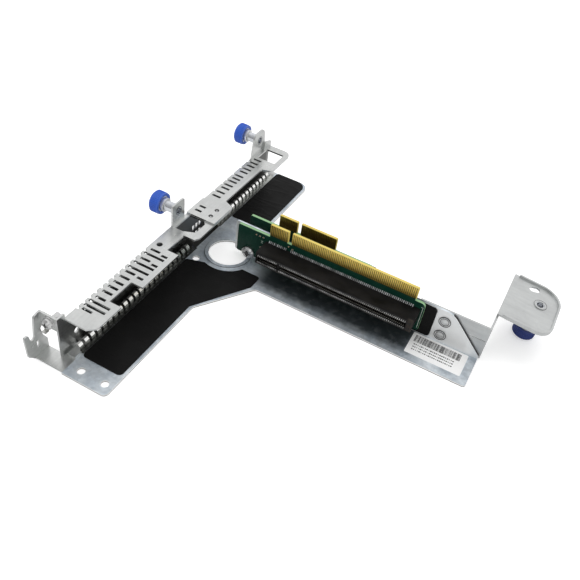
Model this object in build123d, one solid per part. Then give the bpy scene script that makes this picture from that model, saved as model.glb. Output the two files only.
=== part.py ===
from build123d import *
import math
import os

# Riser cage for a flat server, lying on its cover plate with the edge fingers up.
# Millimetres. X runs along the boards, Y along the bulkhead, Z up from the plate's underside.
# X = 0 is the pin 1 end of the contact rows, Y = 0 is the front board's component face.

# Sheet metal
sheet = 1.0
cage_height = 22.1
film = 0.3
wall_film = 0.4
strip = 0.2

# Cover plate
front_arm_end = -117.7
rear_arm_end = 83.6
plate_front = -19.2
plate_end = 122.7
arm_side = -15.0
rear_arm_side = -16.0
seam = -39.6
ring_centre = (-22.8, -2.6)
ring_hole_radius = 11.0
ring_width = 2.6
ring_rise = 0.7

# Bulkhead
bulkhead_face = -46.3
flange_edge = -30.0
rear_flange_edge = -35.2
strap_edge = -28.7
slot_width = 1.6
slot_pitch = 4.15

# Boards
board = 1.57
board_low = 4.0
shoulder_clear = 0.15
finger_reach = 8.25
pitch = 1.0
key_gap = 1.9
short_row = 11
board_gap = 8.53
rear_board_face = board + board_gap
pad_width = 0.7
pad_length = 6.3
pad_thick = 0.05
pad_inset = 0.5
finger_bevel = 0.4

# Card slots
slot_centre = 14.6
rear_slot_centre = 9.0
slot_height = 7.5
slot_depth = 11.25
slot_mouth = 1.9
slot_cavity = 8.9
slot_start = -1.5
slot_end_wall = 3.7
slot_chamfer = 0.5
key_clear = 0.4
funnel_half = 1.6
funnel_depth = 0.7
foot_length = 1.2
foot_width = 0.44
foot_height = 0.7

# Captive thumbscrews
thumb_travel = 3.5
knob_radius = 5.9
knob_length = 6.0
sleeve_radius = 2.8
sleeve_bore = 1.75
running_gap = 0.06
lip = 0.5

# End bracket
end_wall_x = 122.5
tab_top = 23.6
tab_reach = 27.2
tab_lean = 5.0
rim_height = 1.1

# Where pieces join
screw_radius = 1.5
screw_head = 3.8
stud_radius = 2.4
sleeve_neck = 2.2
bracket_start = 86.0
board_screw_x = -11.4
board_screw_z = 5.9
standoff_places = ((-10.0, 13.0), (50.0, 17.0))
bracket_screw_x = -50.0
bracket_screw_z = 21.6

shoulder = cage_height + shoulder_clear
finger_height = shoulder + finger_reach
wall_front = board + wall_film
wall_back = wall_front + sheet
finger_rows = {"front": (short_row, 71), "rear": (short_row, 21)}
rear_slot_rows = (short_row, 38)


def outline(corners):
    """A flat face with straight sides; each corner is (u, v, rounding)."""
    face = make_face(Polyline(*[(u, v) for u, v, r in corners], close=True))
    for u, v, r in corners:
        if r:
            corner = face.vertices().sort_by_distance((u, v, 0))[0]
            face = fillet(corner, r)
    return face


def level(corners, low, thick):
    """A sheet lying flat, its underside at height low."""
    return extrude(Plane.XY.offset(low) * outline(corners), amount=thick)


def across(corners, near, thick):
    """A sheet standing along X, drawn in X and Z, its near face at Y = near."""
    return extrude(Plane.XZ.offset(-near) * outline(corners), amount=-thick)


def upright(corners, left, thick):
    """A sheet standing along Y, drawn in Y and Z, its left face at X = left."""
    return extrude(Plane.YZ.offset(left) * outline(corners), amount=thick)


def span(x0, x1, y0, y1, z0, z1):
    """A plain block between two limits on each axis."""
    middle = Pos((x0 + x1) / 2, (y0 + y1) / 2, (z0 + z1) / 2)
    return middle * Box(x1 - x0, y1 - y0, z1 - z0)


def rod(centre, axis, radius, start, end):
    """A round bar along an axis, from start to end beyond its centre point."""
    plane = Plane(origin=centre, z_dir=axis).offset(start)
    return plane * Cylinder(radius, end - start, align=(Align.CENTER, Align.CENTER, Align.MIN))


def rectangle(x0, x1, y0, y1, r=0):
    return [(x0, y0, r), (x1, y0, r), (x1, y1, r), (x0, y1, r)]


# Cover plate, with the wall folded up along its rear edge
front_hole_row = front_arm_end + 5.6
front_holes = (-33.1, -19.6)
front_hole_radius = 2.0
pin_hole = (-34.7, -16.7)
arm_root = -49.1
apron_left = 4.6
waist = (-8.0, 14.0)
rear_arm_root = 20.0
wall_step = 2.0
wall_start = -2.0
wall_overhang = -21.3
wall_clear = 2.6
wall_cut = 104.3
wall_cut_low = 3.0
clinch_x = 101.1
clinch_heights = (15.2, 5.8)
clinch_radius = 2.6
clinch_ring = 0.8
clinch_rise = 0.25


def ring_disc(radius, low, high):
    return rod((*ring_centre, 0), (0, 0, 1), radius, low, high)


def clinches(radius, near, far):
    """The round press joints that hold the end bracket to the wall."""
    return [rod((clinch_x, near, z), (0, 1, 0), radius, 0, far - near) for z in clinch_heights]


def cover_plate():
    corners = [
        (seam, front_arm_end, 0),
        (arm_side, front_arm_end, 2.5),
        (arm_side, arm_root, 4),
        (apron_left, plate_front, 3),
        (plate_end, plate_front, 1.5),
        (plate_end, wall_back + sheet, 0),
        (bracket_start - wall_step, wall_back + sheet, 0),
        (bracket_start - wall_step, wall_back, 0),
        (wall_start, wall_back, 0),
        (*waist, 3),
        (rear_arm_side, rear_arm_root, 3),
        (rear_arm_side, rear_arm_end, 6),
        (seam, rear_arm_end, 0),
    ]
    plate = level(corners, 0, sheet)
    ring = ring_disc(ring_hole_radius + ring_width, sheet - ring_rise, sheet + ring_rise)
    plate += chamfer(ring.edges().group_by(Axis.Z)[-1], ring_rise * 0.9)
    plate -= ring_disc(ring_hole_radius, -sheet, 3 * sheet)
    for x in front_holes:
        plate -= rod((x, front_hole_row, 0), (0, 0, 1), front_hole_radius, -sheet, 2 * sheet)
    plate -= rod((*pin_hole, 0), (0, 0, 1), front_hole_radius, -sheet, 2 * sheet)
    return plate + wall()


def wall():
    corners = [
        (wall_start, 0, 0),
        (plate_end, 0, 0),
        (plate_end, wall_cut_low, 1),
        (wall_cut, cage_height, 8),
        (wall_overhang, cage_height, 1),
        (wall_overhang, wall_clear, 1),
        (wall_start, wall_clear, 1),
    ]
    body = across(corners, wall_front, sheet)
    for boss in clinches(clinch_radius, wall_front - clinch_rise, wall_front):
        body += boss
    for dimple in clinches(clinch_radius - clinch_ring, wall_front - clinch_rise, wall_front):
        body -= dimple
    body -= rod((board_screw_x, 0, board_screw_z), (0, 1, 0), screw_radius, 0, 2 * wall_back)
    for x, z in standoff_places:
        body -= rod((x, 0, z), (0, 1, 0), screw_radius, 0, 2 * wall_back)
    return body


# End bracket: a sheet behind the wall, an end wall and a dished tab
tab_front = 14.2
tab_far = 50.2
near_corner = 8.0
far_corner = 12.0
seat = (tab_reach - 9.8, 35.4)
grip_hole = (tab_reach - 15.1, 45.2)
grip_length = 5.8
grip_width = 3.8
seat_ring = 3.5
seat_rise = 0.3
rim_start = 2.4
side_low = tab_top - 10.0
relief_left = 114.4
relief_low = 12.9
relief_high = 13.5
tab_place = Pos(end_wall_x, 0, tab_top) * Rot(0, tab_lean, 0)


def tab_outline(inset):
    """The tab's outline from its root; inset moves its free sides inward."""
    return [
        (0, tab_front + inset, 0),
        (tab_reach - inset, tab_front + inset, near_corner - inset),
        (tab_reach - inset, tab_far - inset, far_corner - inset),
        (0, tab_far - inset, 0),
    ]


def dished_tab():
    """The tab with its rim, leaning down from its root to its free end."""
    tab = level(tab_outline(0), -sheet, sheet + rim_height)
    tab -= level(tab_outline(sheet), 0, 2 * rim_height)
    tab -= span(-sheet, rim_start, 0, tab_far + sheet, 0, 2 * rim_height)
    tab += rod((*seat, 0), (0, 0, 1), seat_ring, 0, seat_rise)
    tab -= rod((*seat, 0), (0, 0, 1), sleeve_neck, -2 * sheet, 2 * sheet)
    opening = Pos(*grip_hole, -2 * sheet) * Rot(0, 0, 20) * SlotOverall(grip_length, grip_width)
    tab -= extrude(opening, amount=3 * sheet)
    return tab_place * tab


def end_bracket():
    corners = rectangle(bracket_start, end_wall_x + sheet, sheet, cage_height, 0)
    behind = across(corners, wall_back, sheet)
    behind -= across(rectangle(relief_left, end_wall_x, relief_low, relief_high), wall_back - sheet, 3 * sheet)
    side = upright(
        [
            (wall_back, sheet, 0),
            (tab_front, sheet, 3),
            (tab_far, side_low, 3),
            (tab_far, tab_top - 0.5 * sheet, 0),
            (tab_front, tab_top - 0.5 * sheet, 0),
            (tab_front, cage_height, 0),
            (wall_back, cage_height, 0),
        ],
        end_wall_x,
        sheet,
    )
    return behind + side + dished_tab()


# Bulkhead, front half: floor, side wall, top flange, strap and thumbscrew lug
front_wall_end = -105.5
strap_start = -25.0
strap_lap = -8.0
strap_end = 6.4
joint_line = 6.0
foot_left = -56.1
foot_front = -117.0
foot_back = -108.4
bridge_near = -110.5
bridge_low = 17.6
post_top = 25.4
hook_tip = -121.4
hook_top = 17.4
latch_left = -44.0
latch_back = -104.0
latch_top = 2.6
index_hole = (-99.6, 10.0)
index_hole_radius = 1.6
peep_hole = (-42.4, -39.2)
seam_slits = (-3.8, -0.6, 2.6)
seam_slit_width = 2.2
seam_slit_rows = ((2.6, 5.0), (7.2, 10.6))
strap_overlap = 1.5
strap_dimples = (1.3, -4.8)
strap_dimple_x = -33.9
strap_dimple_radius = 1.3
strap_vents = (-0.6, -4.8)
strap_vent_left = -43.9
strap_vent_right = -39.9
long_slots = (-93.2, -89.9, -61.1, -56.8, -48.5)
left_slots = (-95.9, -86.5, -81.7, -77.6, -73.6, -69.0, -64.7, -52.7, -44.5)
right_slots = (-65.3, -53.9, -45.7)
slot_left = -44.9
slot_right = -33.1
slot_left_short = -38.3
slot_right_short = -36.7
notches = ((-85.7, -69.7), (-40.5, -25.9))
notch_left = -36.7
first_notch = -96.5
front_notches = 13
lug_front = -23.7
lug_back = -13.0
lug_top = 35.0
lug_round = 1.5
notch_depth = 1.3
notch_half = 1.0
notch_drop = 5.0
near_thumb = (-18.3, 29.7)
far_thumb = (66.6, 31.2)


def vent(x0, x1, y):
    """One vent slot through the top flange."""
    return span(x0, x1, y - slot_width / 2, y + slot_width / 2, cage_height - 2 * sheet, cage_height + sheet)


def edge_notch(y, half, drop):
    """One notch where a vent runs over the bend and down the side wall."""
    left = bulkhead_face - sheet
    return span(left, bulkhead_face + notch_depth, y - half, y + half, cage_height - drop, cage_height + sheet)


def strap_vent(y):
    """One vent through the strap and the flange below it."""
    half = slot_width / 2
    low = cage_height - 2 * sheet
    return span(strap_vent_left, strap_vent_right, y - half, y + half, low, cage_height + 2 * sheet)


def front_flange():
    corners = [
        (bulkhead_face, front_wall_end, 1),
        (flange_edge - 4, front_wall_end, 1),
        (flange_edge, front_wall_end + 3.5, 3),
        (flange_edge, strap_start, 0),
        (strap_edge, strap_start + 2, 0),
        (strap_edge, strap_lap, 0),
        (bulkhead_face, strap_lap, 0),
    ]
    top = level(corners, cage_height - sheet, sheet)
    for y in long_slots:
        top -= vent(slot_left, slot_right, y)
    for y in left_slots:
        top -= vent(slot_left + 1, slot_left_short, y)
    for y in right_slots:
        top -= vent(slot_right_short, slot_right, y)
    for y0, y1 in notches:
        top -= span(notch_left, flange_edge + 4, y0, y1, cage_height - 2 * sheet, cage_height + sheet)
    window = [
        (bulkhead_face + 2.2, -23.4, 0.5),
        (-39.3, -23.4, 0.5),
        (-33.0, -20.4, 1),
        (-33.0, -11.5, 1),
        (-35.0, -9.6, 1),
        (bulkhead_face + 2.2, -9.6, 0.5),
    ]
    top -= level(window, cage_height - 2 * sheet, 3 * sheet)
    peep = rod((*peep_hole, cage_height), (0, 0, 1), index_hole_radius, -2 * sheet, sheet)
    return top - peep


def strap():
    """The raised strap that laps over the rear half and is pressed to it."""
    lap = level(rectangle(bulkhead_face, strap_edge, strap_lap - strap_overlap, strap_end), cage_height, sheet)
    for y in strap_dimples:
        lap -= rod((strap_dimple_x, y, cage_height), (0, 0, 1), strap_dimple_radius, sheet / 2, 2 * sheet)
    for y in strap_vents:
        lap -= strap_vent(y)
    return lap


def lug(corners, centre):
    """A lug standing on the side wall, drilled for a captive screw's sleeve."""
    plate = upright(corners, bulkhead_face, sheet)
    return plate - rod((bulkhead_face, *centre), (1, 0, 0), sleeve_neck, -sheet, 2 * sheet)


def hook_sheet():
    """The hooked end sheet that guides the cage into the chassis."""
    corners = [
        (foot_back, 0, 0),
        (foot_front, 0, 0),
        (hook_tip + 0.5, 4.2, 1),
        (hook_tip, hook_top, 1),
        (hook_tip + 2.5, hook_top - 0.6, 1),
        (hook_tip + 3.5, hook_top - 5.2, 0.8),
        (hook_tip + 5.6, hook_top - 4.8, 1),
        (bridge_near - 3.8, post_top - 0.8, 2),
        (bridge_near - 1.3, post_top, 0.8),
        (bridge_near + sheet, post_top, 0),
        (bridge_near + sheet, bridge_low, 0),
        (bridge_near - 1.1, bridge_low - 2.0, 1),
        (bridge_near - 0.3, bridge_low - 6.6, 1),
        (foot_back, 6.5, 1),
    ]
    side = upright(corners, foot_left, sheet)
    slit = rectangle(foot_front + 2.1, foot_front + 3.3, 5.8, 9.6)
    return side - upright(slit, foot_left - sheet, 3 * sheet)


def front_bulkhead():
    floor = level(rectangle(foot_left, seam, foot_front, foot_back, 0), 0, sheet)
    floor += level(rectangle(bulkhead_face, seam, foot_back, joint_line, 0), 0, sheet)
    floor += span(latch_left, seam - 0.1, foot_back, latch_back, sheet, latch_top)
    side = upright(rectangle(bridge_near, strap_lap, 0, cage_height), bulkhead_face, sheet)
    side += upright(rectangle(strap_lap, joint_line, 0, cage_height - sheet), bulkhead_face, sheet)
    side -= rod((bulkhead_face, *index_hole), (1, 0, 0), index_hole_radius, -sheet, 2 * sheet)
    half = seam_slit_width / 2
    for y in seam_slits:
        for low, high in seam_slit_rows:
            side -= upright(rectangle(y - half, y + half, low, high), bulkhead_face - sheet, 3 * sheet)
    top = front_flange()
    for i in range(front_notches):
        notch = edge_notch(first_notch + slot_pitch * i, notch_half, notch_drop)
        top -= notch
        side -= notch
    bridge = across(rectangle(foot_left, bulkhead_face + sheet, bridge_low, post_top), bridge_near, sheet)
    post = upright(rectangle(bridge_near, front_wall_end, 0, post_top), bulkhead_face, sheet)
    near_lug = lug(
        [
            (lug_front, cage_height - sheet, 0),
            (lug_back, cage_height - sheet, 0),
            (lug_back, lug_top, lug_round),
            (lug_front, lug_top, lug_round),
        ],
        near_thumb,
    )
    bridge -= rod((bracket_screw_x, 0, bracket_screw_z), (0, 1, 0), screw_radius, front_arm_end, 0)
    return floor + side + top + strap() + bridge + post + hook_sheet() + near_lug


# Bulkhead, rear half: floor, side wall, top flange, end frame and thumbscrew lug
rear_wall_end = 80.0
frame_front = 54.0
frame_back = 79.2
frame_edge = -28.9
frame_window = (-43.6, -31.9, 62.4, 74.0)
rear_vent_left = -44.6
rear_notch_drop = 3.5
far_lug_front = 57.8
far_lug_top = 37.6
stop_front = 71.0
far_lug_round = 4.5
stop_top = 28.0
rear_long_slots = (18.0, 26.5, 30.9, 38.2, 47.0, 55.1)
rear_short_slots = (13.5, 22.8, 34.6, 43.2, 51.2, 59.3)
rear_slot_right = -39.3


def rear_flange():
    corners = [
        (bulkhead_face, strap_lap, 0),
        (strap_edge, strap_lap, 0),
        (strap_edge, 9.8, 3),
        (rear_flange_edge, 12.6, 1),
        (rear_flange_edge, frame_front - 1.6, 1),
        (frame_edge, frame_front + 0.8, 3),
        (frame_edge, frame_back, 5),
        (bulkhead_face, frame_back, 1),
    ]
    top = level(corners, cage_height - sheet, sheet)
    for y in rear_long_slots:
        top -= vent(bulkhead_face - sheet, rear_slot_right, y)
    for y in rear_short_slots:
        top -= vent(rear_vent_left, rear_slot_right, y)
    for y in strap_vents:
        top -= strap_vent(y)
    return top - level(rectangle(*frame_window, 0.8), cage_height - 2 * sheet, 3 * sheet)


def rear_bulkhead():
    floor = level(rectangle(bulkhead_face, seam, joint_line, rear_arm_end), 0, sheet)
    side = upright(rectangle(joint_line, rear_wall_end, 0, cage_height), bulkhead_face, sheet)
    for y in rear_long_slots:
        side -= edge_notch(y, slot_width / 2, rear_notch_drop)
    far_lug = lug(
        [
            (far_lug_front, cage_height - sheet, 0),
            (far_lug_front + 13.8, cage_height - sheet, 0),
            (far_lug_front + 15.4, far_lug_top - 10.7, lug_round),
            (far_lug_front + 14.0, far_lug_top, far_lug_round),
            (far_lug_front + 2.0, far_lug_top, far_lug_round),
        ],
        far_thumb,
    )
    stop = upright(
        [
            (stop_front, cage_height - sheet, 0),
            (rear_wall_end, cage_height - sheet, 0),
            (rear_wall_end, stop_top - 2.7, 1),
            (stop_front + 1.0, stop_top, 1),
        ],
        bulkhead_face + sheet,
        sheet,
    )
    return floor + side + rear_flange() + far_lug + stop


# Shield spring strips along both bracket openings
film_left = -38.7
film_clear = 0.2
strip_left = -41.4
strip_right = film_left - film_clear
front_strip_ends = (-103.6, -26.0)
rear_strip_ends = (14.6, 62.0)
leaf_width = 2.5
leaf_reach = 3.6
leaf_rise = 3.4
leaf_turn = 150
leaf_steps = 4


def leaf_line(inset):
    """Points along a leaf, from its root up over the crown and down to its tip."""
    points = []
    for i in range(leaf_steps + 1):
        turn = math.radians(leaf_turn * i / leaf_steps)
        x = strip_left - (leaf_reach / 2 - inset) * (1 - math.cos(turn)) + strip - inset
        z = sheet + (leaf_rise - inset) * math.sin(turn)
        points.append((x, z))
    return points


def leaf(y):
    """One curved spring leaf, rooted on the strip and rolled over to the left."""
    profile = make_face(Polyline(*leaf_line(0), *reversed(leaf_line(strip)), close=True))
    return extrude(Plane.XZ.offset(-y) * profile, amount=-leaf_width)


def spring_strip(ends):
    first, last = ends
    base = level(rectangle(strip_left, strip_right, first, last, 0), sheet, strip)
    count = int((last - first) / slot_pitch)
    for i in range(count):
        base += leaf(first + slot_pitch * i + (slot_pitch - leaf_width) / 2)
    return base


# Insulator films
film_margin = 1.5
film_front = -105.0
film_end_gap = 0.4
film_neck = -20.6
rear_film_front = 27.0
wall_film_left = -6.0
wall_film_right = 95.9
ring_gap = 2.0
wall_film_margin = 0.6


def front_film():
    corners = [
        (film_left, film_front, 2),
        (arm_side - film_margin, film_front, 2.5),
        (arm_side - film_margin, arm_root - 0.7, 3),
        (apron_left - 2.6, plate_front - 0.4, 2),
        (apron_left - 2.4, plate_front + 9.0, 1.5),
        (-9.6, plate_front + 9.1, 0),
        (-20.0, plate_front + 5.2, 0),
        (film_left, film_neck, 1.5),
    ]
    return level(corners, sheet, film) - ring_disc(ring_hole_radius + ring_width + ring_gap, 0, 2 * sheet)


def rear_film():
    corners = [
        (film_left, rear_film_front, 1),
        (rear_arm_side - film_margin, rear_film_front, 1),
        (rear_arm_side - film_margin, rear_arm_end - film_end_gap, 6),
        (film_left, rear_arm_end - film_end_gap, 2),
    ]
    return level(corners, sheet, film)


def wall_insulator():
    low = sheet + wall_film_margin
    corners = rectangle(wall_film_left, wall_film_right, low, cage_height - wall_film_margin, 2)
    return across(corners, board, wall_film)


# Boards with edge fingers
board_left = -19.0
board_right = 89.7
rear_board_left = -17.4
rear_board_right = 56.9


def tab_ends(count):
    """Where the long finger tab starts and ends, from its contact count."""
    start = short_row * pitch + 0.2 + key_gap
    return start, start + count * pitch + 0.2


def riser_board(left, right, near, long_count):
    start, end = tab_ends(long_count)
    first_end = short_row * pitch + 0.2
    corners = [
        (left, board_low, 1),
        (right, board_low, 1),
        (right, shoulder, 2.5),
        (end, shoulder, 0),
        (end, finger_height, 0.8),
        (start, finger_height, 0.5),
        (start, shoulder + 0.6, 0),
        (first_end, shoulder + 0.6, 0),
        (first_end, finger_height, 0.5),
        (0, finger_height, 0.8),
        (0, shoulder, 0),
        (left, shoulder, 1),
    ]
    body = across(corners, near, board)
    tips = body.faces().sort_by(Axis.Z)[-2:]
    return chamfer([e for tip in tips for e in tip.edges().filter_by(Axis.X)], finger_bevel)


def front_board():
    body = riser_board(board_left, board_right, 0, finger_rows["front"][1])
    return body - rod((board_screw_x, 0, board_screw_z), (0, 1, 0), screw_radius, -1, 2 * board)


def rear_board():
    body = riser_board(rear_board_left, rear_board_right, rear_board_face, finger_rows["rear"][1])
    for x, z in standoff_places:
        body -= rod((x, rear_board_face, z), (0, 1, 0), screw_radius, -1, 2 * board)
    return body


def contact_places(counts):
    """Pitch positions of both groups of contacts along X."""
    short, long = counts
    start, end = tab_ends(long)
    first = [pitch * (i + 0.6) for i in range(short)]
    second = [start + pitch * (i + 0.6) for i in range(long)]
    return first + second


def edge_contacts(counts, near):
    """Gold pads on both faces of a board's finger edge."""
    top = finger_height - pad_inset
    pads = []
    for x in contact_places(counts):
        for y0 in (near - pad_thick, near + board):
            half = pad_width / 2
            pads.append(span(x - half, x + half, y0, y0 + pad_thick, top - pad_length, top))
    return Compound(children=pads)


# Card slots
def card_slot(near, way, counts, centre):
    """A slot housing on a board face; way is -1 toward the front, 1 toward the rear."""
    start, end = tab_ends(counts[1])
    length = end - slot_start + slot_end_wall
    low = centre - slot_height / 2
    y0, y1 = sorted((near, near + way * slot_depth))
    body = span(slot_start, slot_start + length, y0, y1, low, low + slot_height)
    rim = body.faces().sort_by(Axis.Y)[0 if way < 0 else -1]
    body = chamfer(rim.edges(), slot_chamfer)
    c0, c1 = sorted((near + way * (slot_depth - slot_cavity), near + way * (slot_depth + 1)))
    half = slot_mouth / 2
    key = short_row * pitch + key_clear
    for x0, x1 in ((0.0, key), (key + key_gap - key_clear, end + 0.6)):
        body -= span(x0, x1, c0, c1, centre - half, centre + half)
    m0, m1 = sorted((near + way * (slot_depth - funnel_depth), near + way * (slot_depth + 1)))
    return body - span(0.0, end + 0.6, m0, m1, centre - funnel_half, centre + funnel_half)


def slot_contacts(near, way, counts, centre):
    """Solder feet of a slot's springs: a sloped fillet per contact along each long side."""
    feet = []
    for x in contact_places(counts):
        for side in (-1, 1):
            edge = centre + side * slot_height / 2
            slope = Polyline(
                (near, edge),
                (near, edge + side * foot_length),
                (near + way * foot_height, edge),
                close=True,
            )
            feet.append(extrude(Plane.YZ.offset(x) * make_face(slope), amount=foot_width / 2, both=True))
    return Compound(children=feet)


# Screws, standoffs and the card bracket's clamp
crown_share = 0.45
recess_width = 0.8
stem_clear = 0.3
washer_radius = 3.4
washer_thick = 0.6
bracket_head = 2.8
head_height = 2.2
clip_thick = 0.5
clip_left = -55.0
clip_low = 12.9


def crossed_head(centre, axis, radius, thick):
    """A low round head with a cross recess, standing on its seat."""
    head = rod(centre, axis, radius, 0, thick)
    crown = head.edges().sort_by_distance(Vector(*centre) + Vector(*axis) * 50)[0]
    head = chamfer(crown, thick * crown_share)
    plane = Plane(origin=centre, z_dir=axis).offset(thick)
    cross = plane * (Box(radius * 1.1, recess_width, thick) + Box(recess_width, radius * 1.1, thick))
    return head - cross


def board_screw():
    centre = (board_screw_x, 0, board_screw_z)
    shank = rod(centre, (0, 1, 0), screw_radius, 0, wall_back + sheet)
    return crossed_head(centre, (0, -1, 0), screw_head, head_height) + shank


def standoffs():
    posts = []
    for x, z in standoff_places:
        post = rod((x, wall_back, z), (0, 1, 0), stud_radius, 0, rear_board_face - wall_back)
        stem = rod((x, wall_front, z), (0, 1, 0), screw_radius, 0, sheet)
        hole = rod((x, wall_back, z), (0, 1, 0), screw_radius - stem_clear, sheet, board_gap)
        posts.append(post + stem - hole)
    return Compound(children=posts)


def rear_board_screws():
    back = rear_board_face + board
    screws = []
    for x, z in standoff_places:
        shank = rod((x, back, z), (0, -1, 0), screw_radius - stem_clear, 0, board + 3)
        screws.append(crossed_head((x, back, z), (0, 1, 0), 2.1, 1.4) + shank)
    return Compound(children=screws)


def bracket_screw():
    centre = (bracket_screw_x, bridge_near, bracket_screw_z)
    shank = rod(centre, (0, 1, 0), screw_radius, 0, 6)
    washer = rod(centre, (0, -1, 0), washer_radius, 0, washer_thick)
    under_head = (bracket_screw_x, bridge_near - washer_thick, bracket_screw_z)
    head = crossed_head(under_head, (0, -1, 0), bracket_head, head_height)
    return shank + washer + head


def bracket_clip():
    """The spring clip behind the bridge that holds a card bracket's foot."""
    back = bridge_near + sheet
    step = clip_low + clip_thick
    clip = across(rectangle(clip_left, clip_left + 7.9, clip_low + 5.3, post_top - 0.6, 0.8), back, clip_thick)
    clip += span(clip_left, clip_left + 2.4, back, back + clip_thick, step, clip_low + 5.7)
    clip += span(clip_left, clip_left + 2.4, back - 1.9, back + clip_thick, clip_low, step)
    return clip - rod((bracket_screw_x, back, bracket_screw_z), (0, 1, 0), screw_radius, -1, 2)


# Captive thumbscrews
sleeve_flare = 3.6
sleeve_end = 3.2
sleeve_over = 1.5
near_reach = 8.0
end_reach = 14.0
outward = Rot(0, -90, 0)
downward = Rot(180, 0, 0)
boss_radius = 3.8
boss_length = 2.2
collar_radius = 4.3
cavity_radius = 3.4
head_radius = 2.6
knob_chamfer = 0.9


def bar(radius, low, high):
    return Pos(0, 0, low) * Cylinder(radius, high - low, align=(Align.CENTER, Align.CENTER, Align.MIN))


def thumb_sleeve(reach):
    """The guide sleeve, flared behind the sheet and lipped at its free end."""
    end = reach + sleeve_over
    body = bar(sleeve_neck, -sheet, 0) + bar(sleeve_flare, 0, lip) + bar(sleeve_radius, 0, end)
    body += bar(sleeve_end, end, end + lip)
    return body - bar(sleeve_bore, -2 * sheet, end + 2 * lip)


def thumb_collar(reach):
    """The stepped collar that slides on the sleeve and keeps the knob captive."""
    top = reach + 1
    body = bar(boss_radius, top - boss_length, top) + bar(collar_radius, top, reach + 1.4)
    return body - bar(sleeve_radius + running_gap, reach - boss_length, reach + 2)


def thumb_knob(reach):
    low = reach + 0.6
    high = low + knob_length
    body = bar(knob_radius, low, high)
    body = chamfer(body.edges().group_by(Axis.Z)[-1], knob_chamfer)
    body -= bar(collar_radius + running_gap, low - 1, reach + 1.5)
    body -= bar(cavity_radius, reach + 1.4, reach + 2.2 + thumb_travel)
    body -= bar(screw_radius, reach, high + 1)
    return body - bar(head_radius, high - 0.6, high + 1)


def thumb_screw(reach):
    high = reach + 0.6 + knob_length
    body = bar(screw_radius, 1.0, high - 0.6)
    body = chamfer(body.edges().group_by(Axis.Z)[0], 0.4)
    body += bar(head_radius, high - 0.6, high + 0.2)
    cross = Pos(0, 0, high) * (Box(3.4, 0.8, 1.2) + Box(0.8, 3.4, 1.2))
    return body - cross


def thumbscrew(name, place, reach):
    """The four pieces of one captive screw; place turns up into the way out to the knob."""
    return {
        name + "_sleeve": place * thumb_sleeve(reach),
        name + "_collar": place * thumb_collar(reach),
        name + "_knob": place * thumb_knob(reach),
        name + "_screw": place * thumb_screw(reach),
    }


label_edges = (88.6, 118.4, -14.4, 1.3)
label_thick = 0.1


def label():
    return level(rectangle(*label_edges, 0.5), sheet, label_thick)


parts = {
    "cover_plate": cover_plate(),
    "end_bracket": end_bracket(),
    "front_bulkhead": front_bulkhead(),
    "rear_bulkhead": rear_bulkhead(),
    "front_spring_strip": spring_strip(front_strip_ends),
    "rear_spring_strip": spring_strip(rear_strip_ends),
    "front_film": front_film(),
    "rear_film": rear_film(),
    "wall_film": wall_insulator(),
    "front_board": front_board(),
    "rear_board": rear_board(),
    "front_board_contacts": edge_contacts(finger_rows["front"], 0),
    "rear_board_contacts": edge_contacts(finger_rows["rear"], rear_board_face),
    "front_slot": card_slot(0, -1, finger_rows["front"], slot_centre),
    "rear_slot": card_slot(rear_board_face + board, 1, rear_slot_rows, rear_slot_centre),
    "front_slot_contacts": slot_contacts(0, -1, finger_rows["front"], slot_centre),
    "rear_slot_contacts": slot_contacts(rear_board_face + board, 1, rear_slot_rows, rear_slot_centre),
    "front_board_screw": board_screw(),
    "rear_board_standoffs": standoffs(),
    "rear_board_screws": rear_board_screws(),
    "bracket_screw": bracket_screw(),
    "bracket_clip": bracket_clip(),
    "label": label(),
}
parts |= thumbscrew("near_thumb", Pos(bulkhead_face, *near_thumb) * outward, near_reach)
parts |= thumbscrew("far_thumb", Pos(bulkhead_face, *far_thumb) * outward, near_reach)
parts |= thumbscrew("end_thumb", tab_place * Pos(*seat, -sheet) * downward, end_reach)

os.makedirs("parts", exist_ok=True)
for name, solid in parts.items():
    export_step(solid, f"parts/{name}.step")
    print(name, round(solid.volume, 1))
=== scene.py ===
# %% [markdown]
# The part is a riser cage from a flat server: folded plated sheet, two green boards with gold edge
# fingers, a long black card slot and three captive screws with blue knobs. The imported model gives
# every piece its place in metres. This script only dresses it: first the camera, floor and light,
# then one finish after another, and then the small pieces that repeat.

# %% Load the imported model
import math

import bmesh
import bpy
from mathutils import Matrix, Vector


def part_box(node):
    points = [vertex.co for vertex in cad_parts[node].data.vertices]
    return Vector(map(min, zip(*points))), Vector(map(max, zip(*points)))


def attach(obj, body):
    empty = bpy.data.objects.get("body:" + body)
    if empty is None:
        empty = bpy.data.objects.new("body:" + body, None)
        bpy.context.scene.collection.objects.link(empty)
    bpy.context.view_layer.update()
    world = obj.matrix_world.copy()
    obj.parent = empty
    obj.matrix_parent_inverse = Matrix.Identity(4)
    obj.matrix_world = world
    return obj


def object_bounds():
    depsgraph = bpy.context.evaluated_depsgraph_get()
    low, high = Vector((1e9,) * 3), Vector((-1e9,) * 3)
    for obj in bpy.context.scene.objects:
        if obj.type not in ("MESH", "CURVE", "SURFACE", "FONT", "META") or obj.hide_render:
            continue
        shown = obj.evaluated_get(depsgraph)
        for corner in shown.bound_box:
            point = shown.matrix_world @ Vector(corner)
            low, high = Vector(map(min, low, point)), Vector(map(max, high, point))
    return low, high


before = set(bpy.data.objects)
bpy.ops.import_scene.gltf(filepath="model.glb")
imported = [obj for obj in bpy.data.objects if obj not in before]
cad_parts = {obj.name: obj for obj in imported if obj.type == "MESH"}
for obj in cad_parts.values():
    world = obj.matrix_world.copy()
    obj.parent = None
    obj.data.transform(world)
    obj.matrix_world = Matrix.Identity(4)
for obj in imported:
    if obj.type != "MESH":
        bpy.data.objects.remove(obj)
cad_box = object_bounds()
mm = 0.001

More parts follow.
